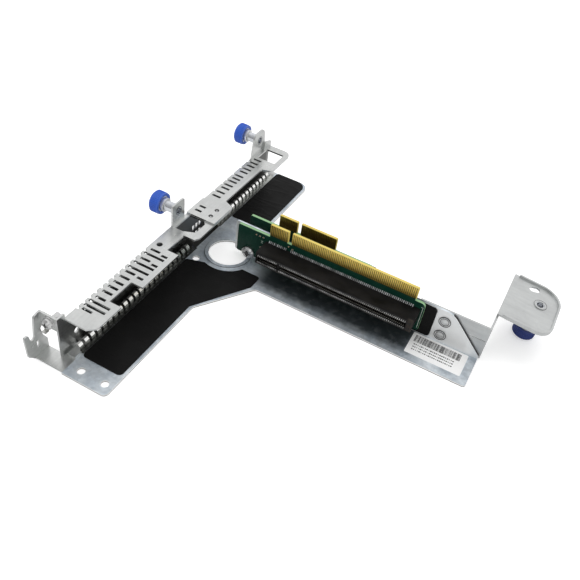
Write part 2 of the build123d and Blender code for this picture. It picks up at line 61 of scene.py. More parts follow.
# %% [markdown]
# The camera stands where the photographer's did. Its place and turn came from the 1 mm pitch of
# the edge fingers, which gives a scale in depth. A matrix is the clearest way to set it: its
# columns are the camera's right, up and backward directions.

# %% Camera
camera_place = Vector((121.0, -259.5, 253.0)) * mm
camera_right = Vector((0.8744, 0.4706, 0.1182))
camera_down = Vector((0.4012, -0.5642, -0.7216))
focal_pixels = 689.07
image_pixels = 580

lens = bpy.data.cameras.new("camera")
lens.sensor_width = 36.0
lens.lens = focal_pixels * lens.sensor_width / image_pixels
lens.clip_start = 0.01
lens.clip_end = 10.0
camera = bpy.data.objects.new("camera", lens)
right = camera_right.normalized()
up = (-camera_down - right * right.dot(-camera_down)).normalized()
back = right.cross(up)
turn = Matrix((right, up, back)).transposed().to_4x4()
camera.matrix_world = Matrix.Translation(camera_place) @ turn
bpy.context.collection.objects.link(camera)
bpy.context.scene.camera = camera
bpy.context.scene.view_settings.view_transform = "Standard"
print("lens", round(lens.lens, 2), "mm")

# %% [markdown]
# Node trees are easier to read when one short helper adds a node, sets its options and links or
# fills its inputs. A value that is itself a socket is linked, anything else is written on the
# input. The other helpers stand for the steps that come up all the time: one sum, and one range
# mapped onto another.

# %% Helpers for node trees
def add(tree, kind, inputs=None, **options):
    made = tree.nodes.new(kind)
    for option, value in options.items():
        setattr(made, option, value)
    for key, value in (inputs or {}).items():
        socket = made.inputs[key]
        if isinstance(value, bpy.types.NodeSocket):
            tree.links.new(value, socket)
        else:
            socket.default_value = value
    return made


def grey(level):
    return (level, level, level, 1.0)


def reckon(tree, operation, *values, clamp=False):
    """One sum on one, two or three values."""
    inputs = dict(enumerate(values))
    return add(tree, "ShaderNodeMath", inputs, operation=operation, use_clamp=clamp).outputs[0]


def product(tree, first, *others):
    for other in others:
        first = reckon(tree, "MULTIPLY", first, other)
    return first


def inverse(tree, mask):
    return reckon(tree, "SUBTRACT", 1.0, mask)


def spread(tree, value, low, high, start=0.3, end=0.7):
    """Maps the range from start to end onto low to high, and holds both ends."""
    limits = {"From Min": start, "From Max": end, "To Min": low, "To Max": high}
    return add(tree, "ShaderNodeMapRange", {"Value": value, **limits}).outputs[0]


# %% [markdown]
# Light is a plain soft studio: a pale world and three large lamps. The world is white for the
# camera. Reflections see it fall off towards the front, where a studio is darker, so that round
# metal gets a dark side and a bright one, while flat metal that faces up still mirrors white. The
# key lamp is kept out of reflections, because the flat sheets would mirror it as one white patch.

# %% World and lamps
camera_level = 1.0
diffuse_level = 0.72
front_mirror, back_mirror = 0.4, 0.97
fade_start, fade_end = -0.8, 0.3

world = bpy.data.worlds.new("studio")
bpy.context.scene.world = world
world.use_nodes = True
sky = world.node_tree
sky.nodes.clear()
ray = add(sky, "ShaderNodeLightPath").outputs
toward = add(sky, "ShaderNodeTexCoord").outputs["Generated"]
backward = add(sky, "ShaderNodeSeparateXYZ", {0: toward}).outputs["Y"]
mirrored = spread(sky, backward, front_mirror, back_mirror, fade_start, fade_end)
shine_ray = reckon(sky, "ADD", ray["Is Glossy Ray"], ray["Is Transmission Ray"])
by_shine = {"Factor": shine_ray, "A": diffuse_level, "B": mirrored}
unseen = add(sky, "ShaderNodeMix", by_shine).outputs[0]
by_camera = {"Factor": ray["Is Camera Ray"], "A": unseen, "B": camera_level}
seen = add(sky, "ShaderNodeMix", by_camera).outputs[0]
glow = add(sky, "ShaderNodeBackground", {"Color": grey(1.0), "Strength": seen})
add(sky, "ShaderNodeOutputWorld", {"Surface": glow.outputs[0]})


def lamp(name, spot, size, power, mirrored=True):
    """A rectangular lamp that looks at the middle of the part."""
    light = bpy.data.lights.new(name, "AREA")
    light.shape = "RECTANGLE"
    light.size, light.size_y = size
    light.energy = power
    holder = bpy.data.objects.new(name, light)
    holder.location = spot
    holder.rotation_euler = (part_middle - Vector(spot)).to_track_quat("-Z", "Y").to_euler()
    holder.visible_glossy = mirrored
    bpy.context.collection.objects.link(holder)
    print("lamp", name, power, "W")


part_middle = (cad_box[0] + cad_box[1]) / 2
lamp("key", (-0.05, 0.35, 1.10), (1.2, 1.0), 4.0, mirrored=False)
lamp("side", (-0.85, -0.15, 0.55), (0.6, 0.6), 1.4)
lamp("fill", (0.35, -0.8, 0.45), (0.7, 0.5), 0.8)

# %% [markdown]
# The floor is a plain pale sheet. It carries the soft shadow. A little glow that only the camera
# sees lifts it to the white of the backdrop without lighting the part.

# %% Floor
floor_half = 3.0
floor_gap = 0.05 * mm
floor_lift = 0.42

floor_mesh = bpy.data.meshes.new("floor")
corner_signs = ((-1, -1), (1, -1), (1, 1), (-1, 1))
floor_corners = [(x * floor_half, y * floor_half, 0) for x, y in corner_signs]
floor_mesh.from_pydata(floor_corners, [], [(0, 1, 2, 3)])
floor_mesh.transform(Matrix.Translation((0, 0, cad_box[0].z - floor_gap)))
floor = bpy.data.objects.new("floor", floor_mesh)
bpy.context.collection.objects.link(floor)

paper = bpy.data.materials.new("floor paper")
paper.use_nodes = True
tree = paper.node_tree
shader = tree.nodes["Principled BSDF"]
shader.inputs["Base Color"].default_value = grey(0.86)
shader.inputs["Roughness"].default_value = 0.9
shader.inputs["Emission Color"].default_value = grey(1.0)
camera_ray = add(tree, "ShaderNodeLightPath").outputs["Is Camera Ray"]
tree.links.new(product(tree, camera_ray, floor_lift), shader.inputs["Emission Strength"])
floor_mesh.materials.append(paper)

# %% [markdown]
# Every finish below starts from the same Principled shader. These helpers give a pattern its
# place: Object coordinates are metres in the part's own frame, so a scale of 400 repeats every 2.5
# mm. A mask is a value from 0 to 1 that says where a tone lies.

# %% Helpers for finishes
def finish_start(name, colour, metallic=0.0, roughness=0.5):
    made = bpy.data.materials.new(name)
    made.use_nodes = True
    made.diffuse_color = (*colour, 1.0)
    body = made.node_tree.nodes["Principled BSDF"]
    body.inputs["Base Color"].default_value = (*colour, 1.0)
    body.inputs["Metallic"].default_value = metallic
    body.inputs["Roughness"].default_value = roughness
    return made, made.node_tree, body


def place(tree, scale=(1, 1, 1), turned=(0, 0, 0)):
    where = add(tree, "ShaderNodeTexCoord").outputs["Object"]
    inputs = {"Vector": where, "Scale": scale, "Rotation": turned}
    return add(tree, "ShaderNodeMapping", inputs).outputs[0]


def coordinate(tree, axis):
    where = add(tree, "ShaderNodeTexCoord").outputs["Object"]
    return add(tree, "ShaderNodeSeparateXYZ", {0: where}).outputs[axis]


def clouds(tree, scale, detail=4.0, vector=None):
    inputs = {"Vector": vector or place(tree), "Scale": scale, "Detail": detail, "Roughness": 0.55}
    return add(tree, "ShaderNodeTexNoise", inputs).outputs["Fac"]


def blend_colour(tree, mask, first, second):
    """One colour where the mask is 0 and the other where it is 1."""
    made = add(tree, "ShaderNodeMix", {0: mask}, data_type="RGBA")
    for socket, colour in ((made.inputs[6], first), (made.inputs[7], second)):
        if isinstance(colour, bpy.types.NodeSocket):
            tree.links.new(colour, socket)
        else:
            socket.default_value = (*colour, 1.0)
    return made.outputs[2]


def tint(tree, body, mask, first, second):
    """Colours the surface by a mask and hands on the result, for another tone to go over it."""
    tone = blend_colour(tree, mask, first, second)
    tree.links.new(tone, body.inputs["Base Color"])
    return tone


def roughen(tree, body, mask, low, high, start=0.3, end=0.7):
    tree.links.new(spread(tree, mask, low, high, start, end), body.inputs["Roughness"])


def relief(tree, body, height, depth):
    """Bump of a real depth in metres on a pattern that runs from 0 to 1."""
    made = add(tree, "ShaderNodeBump", {"Height": height, "Distance": depth, "Strength": 1.0})
    tree.links.new(made.outputs[0], body.inputs["Normal"])


def band(tree, axis, low, high, soft=0.1 * mm):
    """1 where a coordinate lies between two limits, with soft edges."""
    value = coordinate(tree, axis)
    rise = spread(tree, value, 0.0, 1.0, low - soft, low + soft)
    fall = spread(tree, value, 1.0, 0.0, high - soft, high + soft)
    return product(tree, rise, fall)


def facing(tree, axis, squarely=0.9):
    """1 where the surface faces along an axis, either way."""
    normal = add(tree, "ShaderNodeNewGeometry").outputs["True Normal"]
    share = add(tree, "ShaderNodeSeparateXYZ", {0: normal}).outputs[axis]
    return reckon(tree, "GREATER_THAN", reckon(tree, "ABSOLUTE", share), squarely)


def mottled(name, colour, roughness, tones, scale, detail=4.0, limits=None):
    """A plain finish that drifts between two tones. Close limits make the patches sharper."""
    made, tree, body = finish_start(name, colour, roughness=roughness)
    mask = clouds(tree, scale, detail)
    if limits:
        mask = spread(tree, mask, 0.0, 1.0, *limits)
    tint(tree, body, mask, *tones)
    return made


def dress(made, *nodes):
    for name in nodes:
        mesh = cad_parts[name].data
        mesh.materials.clear()
        mesh.materials.append(made)
    print(made.name, "on", ", ".join(nodes))


# %% [markdown]
# Plated sheet is not one grey. Zinc grows in small crystals that mirror a little differently, the
# coil leaves faint streaks along its rolling direction, and handling leaves cloudy patches. Three
# patterns at three scales give that.

# %% Plated steel
unevenness = 0.06


def plated_steel(name, pale, deep, roughness, streaks, patch_scale, spangle):
    made, tree, body = finish_start(name, pale, metallic=1.0, roughness=roughness)
    crystal_inputs = {"Vector": place(tree), "Scale": 700.0, "Randomness": 1.0}
    crystals = add(tree, "ShaderNodeTexVoronoi", crystal_inputs).outputs["Color"]
    crystal_grey = add(tree, "ShaderNodeSeparateColor", {0: crystals}).outputs[0]
    rolling = clouds(tree, 1.0, 6.0, place(tree, streaks))
    patches = clouds(tree, patch_scale, 5.0)
    colour = blend_colour(tree, spread(tree, patches, 0.0, 1.0, 0.36, 0.64), deep, pale)
    shine = spread(tree, crystal_grey, 1.0 - spangle, 1.0 + spangle, 0.0, 1.0)
    grain = spread(tree, rolling, 0.93, 1.07, 0.25, 0.75)
    scaling = {0: colour, "Scale": product(tree, shine, grain)}
    varied = add(tree, "ShaderNodeVectorMath", scaling, operation="SCALE").outputs[0]
    tree.links.new(varied, body.inputs["Base Color"])
    roughen(tree, body, patches, roughness + unevenness, roughness - unevenness)
    relief(tree, body, clouds(tree, 900.0, 3.0), 0.004 * mm)
    return made, tree, body, varied


# %% [markdown]
# Within the bulkhead, between its wall and the cards, little light comes in, and the zinc there is
# painted dark as shade.

# %% Sheet of the bulkhead and the end bracket
inside_x = (-45.6 * mm, -39.4 * mm)
inside_y = (-98.0 * mm, 80.0 * mm)
inside_z = (0.5 * mm, 21.2 * mm)
inside_fade = 3.5 * mm

cage_steel, tree, body, tone = plated_steel(
    "pale plated steel",
    pale=(0.66, 0.67, 0.66),
    deep=(0.59, 0.60, 0.595),
    roughness=0.3,
    streaks=(900, 30, 900),
    patch_scale=45.0,
    spangle=0.03,
)
# Painted shade within the bulkhead's channel.
painted_inside_shade = product(
    tree,
    band(tree, "X", *inside_x),
    band(tree, "Z", *inside_z),
    band(tree, "Y", *inside_y, inside_fade),
)
tint(tree, body, painted_inside_shade, tone, (0.10, 0.10, 0.097))
dress(cage_steel, "front_bulkhead", "rear_bulkhead")

tab_steel, *_ = plated_steel(
    "bracket plated steel",
    pale=(0.62, 0.635, 0.63),
    deep=(0.57, 0.58, 0.58),
    roughness=0.4,
    streaks=(60, 500, 500),
    patch_scale=50.0,
    spangle=0.02,
)
dress(tab_steel, "end_bracket")

# %% [markdown]
# The cover plate has several tones, and each is laid over the last. Below the slot a painted shadow
# lies on the plate, dark in blotches. The wall that is folded up from it is paler in front, as
# painted light, and darker behind, as painted shade. Its cut edges carry a painted highlight that
# makes them paler than the faces, with a thin painted contact shadow below. The slanted cut at the
# wall's end is painted in shade.

# %% Sheet of the cover plate
shade_start, shade_full = -17.2 * mm, -11.0 * mm
shade_x = (1.0 * mm, 92.0 * mm)
shade_fade = 5.0 * mm
wall_middle = 2.4 * mm
wall_back_end = 5.0 * mm
below_plate = -1.0 * mm
edge_top = 1.02 * mm
contact_shadow_top = 0.3 * mm
slant_z = (1.5 * mm, 21.9 * mm)

plate_steel, tree, body, tone = plated_steel(
    "blue grey plated steel",
    pale=(0.84, 0.89, 0.93),
    deep=(0.54, 0.60, 0.66),
    roughness=0.6,
    streaks=(60, 500, 500),
    patch_scale=85.0,
    spangle=0.07,
)
upright_face = facing(tree, "Y")
level_face = facing(tree, "Z")
edge_face = inverse(tree, level_face)

# Painted shadow below the slot, in blotches.
shade = spread(tree, coordinate(tree, "Y"), 0.0, 1.0, shade_start, shade_full)
blotches = spread(tree, clouds(tree, 260.0, 5.0), -0.2, 0.2)
shade = reckon(tree, "ADD", shade, blotches, clamp=True)
shade = product(tree, shade, band(tree, "X", *shade_x, shade_fade), level_face)
tone = tint(tree, body, shade, tone, (0.13, 0.15, 0.165))

# Painted light on the wall's front face and painted shade on its back.
lit_wall_front = product(tree, upright_face, band(tree, "Y", 0.0, wall_middle))
tone = tint(tree, body, lit_wall_front, tone, (0.94, 0.95, 0.95))
shaded_wall_back = product(tree, upright_face, band(tree, "Y", wall_middle, wall_back_end))
tone = tint(tree, body, shaded_wall_back, tone, (0.60, 0.615, 0.61))

# Painted highlight on the cut edges and a painted contact shadow under them.
edge_highlight = product(tree, edge_face, band(tree, "Z", below_plate, edge_top))
tone = tint(tree, body, edge_highlight, tone, (0.96, 0.96, 0.95))
contact_shadow = product(tree, edge_face, band(tree, "Z", below_plate, contact_shadow_top))
tone = tint(tree, body, contact_shadow, tone, (0.06, 0.06, 0.06))
slanted = product(tree, inverse(tree, upright_face), edge_face, band(tree, "Z", *slant_z))
tint(tree, body, slanted, tone, (0.07, 0.07, 0.075))
dress(plate_steel, "cover_plate")


# %% [markdown]
# Clips, screws and sleeves are bright. They differ from the sheet in being smoother, so one
# function with a low roughness and a very fine grain is enough.

# %% Bright metals
worn_share = 0.78


def bright_metal(name, colour, roughness):
    made, tree, body = finish_start(name, colour, metallic=1.0, roughness=roughness)
    worn = clouds(tree, 300.0, 5.0)
    darker = tuple(c * worn_share for c in colour)
    tint(tree, body, spread(tree, worn, 0.0, 1.0, 0.4, 0.7), colour, darker)
    roughen(tree, body, worn, roughness - 0.05, roughness + 0.12)
    relief(tree, body, clouds(tree, 3000.0, 2.0), 0.003 * mm)
    return made


spring_steel = bright_metal("bright spring strip", (0.62, 0.62, 0.60), 0.24)
screw_steel = bright_metal("nickel plated screw", (0.66, 0.66, 0.66), 0.24)
sleeve_steel = bright_metal("polished sleeve", (0.70, 0.72, 0.76), 0.1)
collar_steel = bright_metal("satin collar", (0.88, 0.88, 0.88), 0.3)
lead_tin = bright_metal("tinned leads", (0.70, 0.71, 0.72), 0.26)
dress(spring_steel, "bracket_clip")
dress(screw_steel, "front_board_screw", "bracket_screw")
dress(screw_steel, "rear_board_screws", "rear_board_standoffs")
for thumb in ("near", "far", "end"):
    dress(sleeve_steel, thumb + "_thumb_sleeve")
    dress(collar_steel, thumb + "_thumb_collar")
    dress(screw_steel, thumb + "_thumb_screw")

# %% [markdown]
# Every lead is soldered a little differently: one fillet is full and bright, the next thin and
# dull. A noise that changes fast along the row and slowly across it gives each lead its own tone.

# %% Solder feet
solder, tree, body = finish_start("solder fillet", (0.5, 0.5, 0.5), metallic=1.0, roughness=0.3)
each = clouds(tree, 1.0, 1.0, place(tree, (2300, 20, 20)))
tint(tree, body, spread(tree, each, 0.0, 1.0, 0.36, 0.64), (0.16, 0.16, 0.16), (0.80, 0.81, 0.82))
relief(tree, body, clouds(tree, 1800.0, 3.0), 0.01 * mm)
dress(solder, "front_slot_contacts", "rear_slot_contacts")


# %% [markdown]
# The contact strips are the same bright steel, but only their curved leaves catch the light. The
# tone follows the height above the plate: a painted highlight on the leaves and painted shade on
# the flat strip beside and between them. The rear strip lies in the open and is a lit copy, with
# paler painted shade.

# %% Spring strips
strip_top = 1.35 * mm
leaf_shoulder = 2.6 * mm


def strip_finish(name, shaded_flat_tone, highlit_leaf_tone):
    made, tree, body = finish_start(name, highlit_leaf_tone, metallic=1.0, roughness=0.26)
    worn = spread(tree, clouds(tree, 500.0, 4.0), -0.25, 0.25)
    # Painted highlight on the leaves and painted shade on the flat strip.
    raised = spread(tree, coordinate(tree, "Z"), 0.0, 1.0, strip_top, leaf_shoulder)
    tint(tree, body, reckon(tree, "ADD", raised, worn, clamp=True), shaded_flat_tone, highlit_leaf_tone)
    relief(tree, body, clouds(tree, 3000.0, 2.0), 0.003 * mm)
    return made


# A shaded copy at the front and a lit copy at the rear.
shaded_front_strip = strip_finish("contact strip steel", (0.15, 0.155, 0.145), (0.94, 0.94, 0.92))
lit_rear_strip = strip_finish("lit contact strip steel", (0.40, 0.41, 0.39), (0.96, 0.96, 0.94))
dress(shaded_front_strip, "front_spring_strip")
dress(lit_rear_strip, "rear_spring_strip")


# %% [markdown]
# Both strips run on to the ends of their openings. Four more leaves, with the flat strip under
# them, are copied from the far end of each strip and moved along by four pitches, so they match it
# exactly. The cut lies between two leaves, and the copy sits a hair lower, so that no two faces
# fall together. The mesh is welded first, since only a closed mesh can be capped where it is cut.

# %% The strips' last leaves
leaf_pitch = 4.15 * mm
extra_leaves = 4
hair = 0.005 * mm
weld = 0.001 * mm


def more_leaves(strip_name):
    strip_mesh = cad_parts[strip_name].data
    along = [vertex.co.y for vertex in strip_mesh.vertices]
    leaf_count = int((max(along) - min(along)) / leaf_pitch)
    start = min(along) + (leaf_count - extra_leaves) * leaf_pitch
    grown = bmesh.new()
    grown.from_mesh(strip_mesh)
    bmesh.ops.remove_doubles(grown, verts=grown.verts[:], dist=weld)
    whole = grown.verts[:] + grown.edges[:] + grown.faces[:]
    across = {"plane_co": (0, start, 0), "plane_no": (0, 1, 0)}
    cut = bmesh.ops.bisect_plane(grown, geom=whole, clear_inner=True, **across)
    rim = [piece for piece in cut["geom_cut"] if isinstance(piece, bmesh.types.BMEdge)]
    bmesh.ops.holes_fill(grown, edges=rim)
    for face in grown.faces:
        face.smooth = False
    open_edges = sum(1 for edge in grown.edges if not edge.is_manifold)
    bmesh.ops.translate(grown, verts=grown.verts[:], vec=(0, extra_leaves * leaf_pitch, -hair))
    leaves = bpy.data.meshes.new(strip_name + "_end")
    grown.to_mesh(leaves)
    grown.free()
    leaves.materials.append(strip_mesh.materials[0])
    strip_end = bpy.data.objects.new(strip_name + "_end", leaves)
    bpy.context.collection.objects.link(strip_end)
    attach(strip_end, "cage")
    print(strip_end.name, len(leaves.polygons), "faces", open_edges, "open edges")


more_leaves("front_spring_strip")
more_leaves("rear_spring_strip")


# %% [markdown]
# The insulator is thin black sheet, stuck down by hand. It is satin rather than matt, and light
# catches a few long shallow creases and a very fine grain. A stretched noise makes the creases:
# where it crosses its middle value there is a thin line, and that line becomes a ridge.

# %% Black film
crease_width = 0.05
crease_height = 6.0


def black_film(name, crease_turn):
    made, tree, body = finish_start(name, (0.011, 0.011, 0.012), roughness=0.5)
    body.inputs["Specular IOR Level"].default_value = 0.12
    creases = clouds(tree, 1.0, 2.0, place(tree, (26, 90, 60), (0, 0, crease_turn)))
    off_middle = reckon(tree, "ABSOLUTE", reckon(tree, "SUBTRACT", creases, 0.5))
    ridge = spread(tree, off_middle, 1.0, 0.0, 0.0, crease_width)
    fine = clouds(tree, 1800.0, 3.0)
    tint(tree, body, clouds(tree, 55.0), (0.003, 0.003, 0.003), (0.008, 0.008, 0.008))
    roughen(tree, body, clouds(tree, 90.0), 0.42, 0.6)
    relief(tree, body, reckon(tree, "MULTIPLY_ADD", ridge, crease_height, fine), 0.012 * mm)
    return made


floor_film = black_film("black insulator film", math.radians(35))
upright_film = black_film("black upright film", math.radians(5))
dress(floor_film, "front_film", "rear_film")
dress(upright_film, "wall_film")

# %% [markdown]
# A circuit board is glass cloth under a green lacquer. The faces are dark green with copper tracks
# that show as slightly lighter lines: a brick pattern with long thin bricks stands for them, in
# patches. The cut edges are pale, and near the edge fingers the bare laminate is yellow brown,
# because the lacquer stops short of the contacts.

# %% Circuit board
fingers_start = 23.4 * mm
above_fingers = 40.0 * mm
track_pattern = {
    "Scale": 420.0,
    "Mortar Size": 0.035,
    "Color1": grey(0.0),
    "Color2": grey(0.25),
    "Mortar": grey(1.0),
    "Row Height": 0.35,
    "Brick Width": 2.2,
}

board_green, tree, body = finish_start(
    "green lacquered board", (0.007, 0.06, 0.032), roughness=0.34
)
body.inputs["Specular IOR Level"].default_value = 0.22
upright = place(tree, turned=(math.radians(90), 0, 0))
tracks = add(tree, "ShaderNodeTexBrick", {"Vector": upright, **track_pattern}).outputs["Fac"]
lines = product(tree, tracks, spread(tree, clouds(tree, 90.0, 3.0), 0.0, 1.0, 0.45, 0.55))
lacquer = blend_colour(tree, lines, (0.0035, 0.030, 0.019), (0.007, 0.055, 0.033))
bare = band(tree, "Z", fingers_start, above_fingers)
face_tone = blend_colour(tree, bare, lacquer, (0.10, 0.062, 0.014))
edge_tone = blend_colour(tree, bare, (0.30, 0.50, 0.28), (0.82, 0.66, 0.18))
face = facing(tree, "Y")
tint(tree, body, face, edge_tone, face_tone)
roughen(tree, body, face, 0.75, 0.3, 0.0, 1.0)
relief(tree, body, lines, 0.03 * mm)
dress(board_green, "front_board", "rear_board")


# %% [markdown]
# The contacts are gold over nickel. Each was pushed into a socket a few times, so the plating has
# fine lengthwise rub marks. Towards their lower ends the pads are darker. The rear board stands in
# the shade of the front one, so its gold is a darker copy as painted shade, and the dark lower part
# of its pads reaches higher, as painted shade too.

# %% Gold contacts
foot_fade = 1.6 * mm
foot_share = 0.35


def gold_plate(name, bright, worn, foot_end):
    made, tree, body = finish_start(name, bright, metallic=1.0, roughness=0.3)
    rubbed = clouds(tree, 1.0, 5.0, place(tree, (2400, 2400, 120)))
    gold = blend_colour(tree, spread(tree, rubbed, 0.0, 1.0), bright, worn)
    # Darker lower ends; on the rear board this is painted shade.
    foot = band(tree, "Z", 0.0, foot_end, foot_fade)
    tint(tree, body, foot, gold, tuple(c * foot_share for c in worn))
    roughen(tree, body, rubbed, 0.26, 0.42)
    return made


front_gold = gold_plate("gold plating", (0.97, 0.76, 0.22), (0.78, 0.55, 0.11), 24.4 * mm)
rear_gold = gold_plate("shaded gold plating", (0.66, 0.56, 0.13), (0.40, 0.30, 0.06), 28.4 * mm)
dress(front_gold, "front_board_contacts")
dress(rear_gold, "rear_board_contacts")

# %% [markdown]
# The slots are moulded in a glass filled black nylon. It is satin, with a cloudy flow pattern and
# a thin film of dust. The corner at the front slot's right end has faded to brown.

# %% Black slot moulding
corner_x = (85.2 * mm, 95.0 * mm)
corner_y = (-12.0 * mm, -9.6 * mm)

moulding, tree, body = finish_start("black slot moulding", (0.007, 0.007, 0.007), roughness=0.46)
body.inputs["Specular IOR Level"].default_value = 0.12
flow = clouds(tree, 1.0, 5.0, place(tree, (90, 160, 200)))
dusty = spread(tree, flow, 0.0, 1.0, 0.35, 0.65)
tone = blend_colour(tree, dusty, (0.0035, 0.0035, 0.0035), (0.0125, 0.0118, 0.0115))
corner = product(tree, band(tree, "X", *corner_x, 0.5 * mm), band(tree, "Y", *corner_y, 0.3 * mm))
tint(tree, body, corner, tone, (0.030, 0.025, 0.021))
roughen(tree, body, flow, 0.4, 0.62)
relief(tree, body, clouds(tree, 1500.0, 3.0), 0.01 * mm)
dress(moulding, "front_slot", "rear_slot")


# %% [markdown]
# The knobs are royal blue moulded plastic. The surface is eroded fine in the mould, which spreads
# the highlight, so roughness and a small grain matter more than the colour. The end knob hangs in
# the shade below its tab, so it gets a darker copy of the blue as painted shade.

# %% Blue knobs
def blue_plastic(name, deep, bright):
    made, tree, body = finish_start(name, bright, roughness=0.38)
    speckle = clouds(tree, 1400.0, 3.0)
    tint(tree, body, clouds(tree, 160.0, 3.0), deep, bright)
    roughen(tree, body, speckle, 0.32, 0.46)
    relief(tree, body, speckle, 0.02 * mm)
    return made


knob_blue = blue_plastic("royal blue plastic", (0.018, 0.080, 0.46), (0.032, 0.13, 0.62))
# A darker copy of the blue, as painted shade for the end knob.
knob_shaded_blue = blue_plastic("shaded blue plastic", (0.012, 0.026, 0.15), (0.018, 0.040, 0.21))
dress(knob_blue, "near_thumb_knob", "far_thumb_knob")
dress(knob_shaded_blue, "end_thumb_knob")

# %% [markdown]
# The label is coated paper: white, faintly fibrous, with a soft sheen.

# %% White label
label_paper, tree, body = finish_start("coated label paper", (0.88, 0.88, 0.87), roughness=0.5)
fibre = clouds(tree, 900.0, 5.0)
tint(tree, body, spread(tree, fibre, 0.0, 1.0), (0.99, 0.99, 0.985), (0.94, 0.94, 0.94))
relief(tree, body, fibre, 0.008 * mm)
dress(label_paper, "label")

# %% [markdown]
# What repeats is made by Geometry Nodes. Each tree has named inputs for its sizes, so the same
# tree can serve several places. The first helper starts a tree with its inputs, and the second
# ends it with one copy of a shape on each point. The last runs a tree on a mesh of start points,
# takes the result as a plain mesh and throws the modifier away.

# %% Helpers for Geometry Nodes
socket_kinds = {float: "NodeSocketFloat", int: "NodeSocketInt", tuple: "NodeSocketVector"}


def geometry_tree(name, **sizes):
    tree = bpy.data.node_groups.new(name, "GeometryNodeTree")
    tree.interface.new_socket("Geometry", in_out="INPUT", socket_type="NodeSocketGeometry")
    for size, value in sizes.items():
        kind = socket_kinds[type(value)]
        socket = tree.interface.new_socket(size, in_out="INPUT", socket_type=kind)
        socket.default_value = value
    tree.interface.new_socket("Finish", in_out="INPUT", socket_type="NodeSocketMaterial")
    tree.interface.new_socket("Geometry", in_out="OUTPUT", socket_type="NodeSocketGeometry")
    return tree, add(tree, "NodeGroupInput").outputs


def geometry_end(tree, given, points, shape, scale=(1.0, 1.0, 1.0)):
    placing = {"Points": points, "Instance": shape, "Scale": scale}
    copies = add(tree, "GeometryNodeInstanceOnPoints", placing).outputs[0]
    whole = add(tree, "GeometryNodeRealizeInstances", {0: copies}).outputs[0]
    dressing = {"Geometry": whole, "Material": given["Finish"]}
    dressed = add(tree, "GeometryNodeSetMaterial", dressing).outputs[0]
    add(tree, "NodeGroupOutput", {0: dressed})
    return tree


def point_row(tree, given):
    """Points along X, one pitch apart."""
    step = add(tree, "ShaderNodeCombineXYZ", {"X": given["Pitch"]}).outputs[0]
    row = {"Count": given["Count"], "Start Location": given["Start"], "Offset": step}
    return add(tree, "GeometryNodeMeshLine", row).outputs[0]


def grow(name, tree, finish, body_name, start=None, **sizes):
    """A piece made by a tree, riding on a body."""
    seed = bpy.data.meshes.new(name + "_start")
    seed.from_pydata(start or [(0, 0, 0)], [], [])
    holder = bpy.data.objects.new(name, seed)
    bpy.context.collection.objects.link(holder)
    modifier = holder.modifiers.new("grow", "NODES")
    modifier.node_group = tree
    values = dict(sizes, Finish=finish)
    for item in tree.interface.items_tree:
        if item.in_out == "INPUT" and item.name in values:
            modifier[item.identifier] = values[item.name]
    shape = holder.evaluated_get(bpy.context.evaluated_depsgraph_get())
    mesh = bpy.data.meshes.new_from_object(shape)
    holder.modifiers.clear()
    holder.data = mesh
    mesh.name = name
    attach(holder, body_name)
    print(name, len(mesh.polygons), "faces")
    return holder


# %% [markdown]
# The mouth of the slot is a comb: one narrow cell for each contact, with thin walls between. From
# outside, the walls show as fine pale ribs on both lips, their pale tone a painted highlight, with
# a dark channel beyond each band and a worn edge round the whole mouth. A row of bars, one per
# millimetre, gives them, and the key breaks the row. Two pairs of dark blocks at the front slot's
# right end are painted shade for its pockets.

# %% Slot ribs and spring tips
def bar_row():
    bar_size = (0.3 * mm, 0.2 * mm, 1.2 * mm)
    tree, given = geometry_tree(
        "row of bars", Count=11, Pitch=1.0 * mm, Start=(0.0, 0.0, 0.0), Size=bar_size
    )
    bar = add(tree, "GeometryNodeMeshCube", {"Size": given["Size"]}).outputs[0]
    return geometry_end(tree, given, point_row(tree, given), bar)


bars = bar_row()
pitch = 1.0 * mm
first_contact = 0.6 * mm
second_group = first_contact + 13.1 * mm
front_groups = ((first_contact, 11), (second_group, 71))
rear_groups = ((first_contact, 11), (second_group, 38))

mouth_half = 1.6 * mm
rib_size = (0.36 * mm, 0.12 * mm, 1.0 * mm)
tip_size = (0.42 * mm, 1.2 * mm, 0.4 * mm)
tip_inset = 1.1 * mm
tip_height = 0.98 * mm
edge_height = 3.15 * mm
edge_width = 0.22 * mm
pocket_size = (0.85 * mm, 0.12 * mm, 1.3 * mm)
pocket_pitch = 1.25 * mm
pocket_inset = 2.5 * mm
pocket_height = 1.75 * mm

# The ribs' pale tone is a painted highlight.
rib_finish = mottled(
    "highlit slot rib", (0.2, 0.2, 0.2), roughness=0.4,
    tones=((0.08, 0.08, 0.08), (0.60, 0.60, 0.59)),
    scale=240.0, detail=5.0, limits=(0.35, 0.65),
)
edge_finish = mottled(
    "worn slot edge", (0.08, 0.07, 0.06), roughness=0.45,
    tones=((0.008, 0.008, 0.008), (0.055, 0.050, 0.045)),
    scale=150.0, detail=5.0, limits=(0.4, 0.6),
)
tip_metal = bright_metal("shaded spring tips", (0.26, 0.25, 0.22), 0.4)
# Near-black blocks as painted shade in the pockets.
pocket_shade = mottled(
    "painted pocket shade", (0.002, 0.002, 0.002), roughness=0.7,
    tones=((0.001, 0.001, 0.001), (0.004, 0.004, 0.004)), scale=400.0,
)


